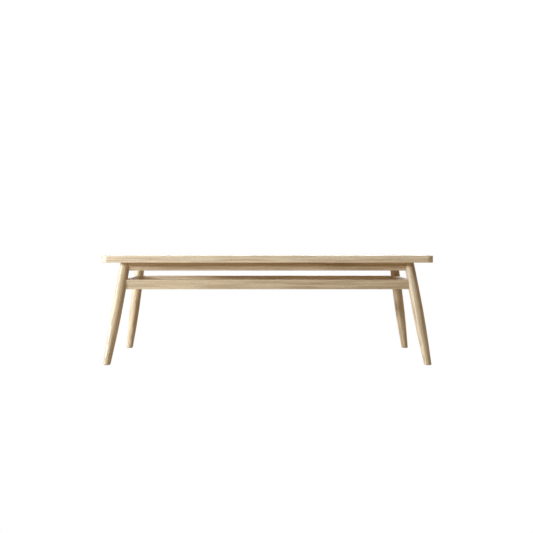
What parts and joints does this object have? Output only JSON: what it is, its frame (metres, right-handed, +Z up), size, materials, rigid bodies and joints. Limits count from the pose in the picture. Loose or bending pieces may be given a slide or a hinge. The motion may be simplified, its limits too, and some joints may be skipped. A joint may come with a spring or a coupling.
{
  "type": "communion table",
  "caption": "Long low oak table: a thin glued-up top on four turned, splayed legs, with aprons under the top and a box of lower rails.",
  "frame": {"origin": "on the floor, under the middle of the top", "axes": "+X along the table to its right end, +Y to the rear, +Z up; the front is -Y"},
  "size_m": [1.295, 0.52, 0.427],
  "materials": {
    "top_oak": "satin, soaped light oak, grain along X",
    "leg_oak": "satin, soaped light oak, grain along the leg",
    "frame_oak": "satin, soaped light oak, grain along the bar",
    "inner_beech": "unfinished beech",
    "screw_steel": "zinc plated",
    "glide_nylon": "brown nylon"
  },
  "bodies": {
    "root": {"top_board_1": "top_oak", "top_board_2": "top_oak", "top_board_3": "top_oak", "top_board_4": "top_oak", "top_board_5": "top_oak", "top_board_6": "top_oak", "leg_front_left": "leg_oak", "leg_front_right": "leg_oak", "leg_rear_left": "leg_oak", "leg_rear_right": "leg_oak", "apron_front": "frame_oak", "apron_rear": "frame_oak", "apron_left": "frame_oak", "apron_right": "frame_oak", "rail_front": "frame_oak", "rail_rear": "frame_oak", "rail_left": "frame_oak", "rail_right": "frame_oak", "cross_bearer": "inner_beech", "button_front_1": "inner_beech", "button_front_2": "inner_beech", "button_front_3": "inner_beech", "button_front_4": "inner_beech", "button_rear_1": "inner_beech", "button_rear_2": "inner_beech", "button_rear_3": "inner_beech", "button_rear_4": "inner_beech", "button_left_1": "inner_beech", "button_left_2": "inner_beech", "button_right_1": "inner_beech", "button_right_2": "inner_beech", "top_screws": "screw_steel", "glide_nails": "screw_steel", "glide_front_left": "glide_nylon", "glide_front_right": "glide_nylon", "glide_rear_left": "glide_nylon", "glide_rear_right": "glide_nylon"}
  },
  "joints": []
}
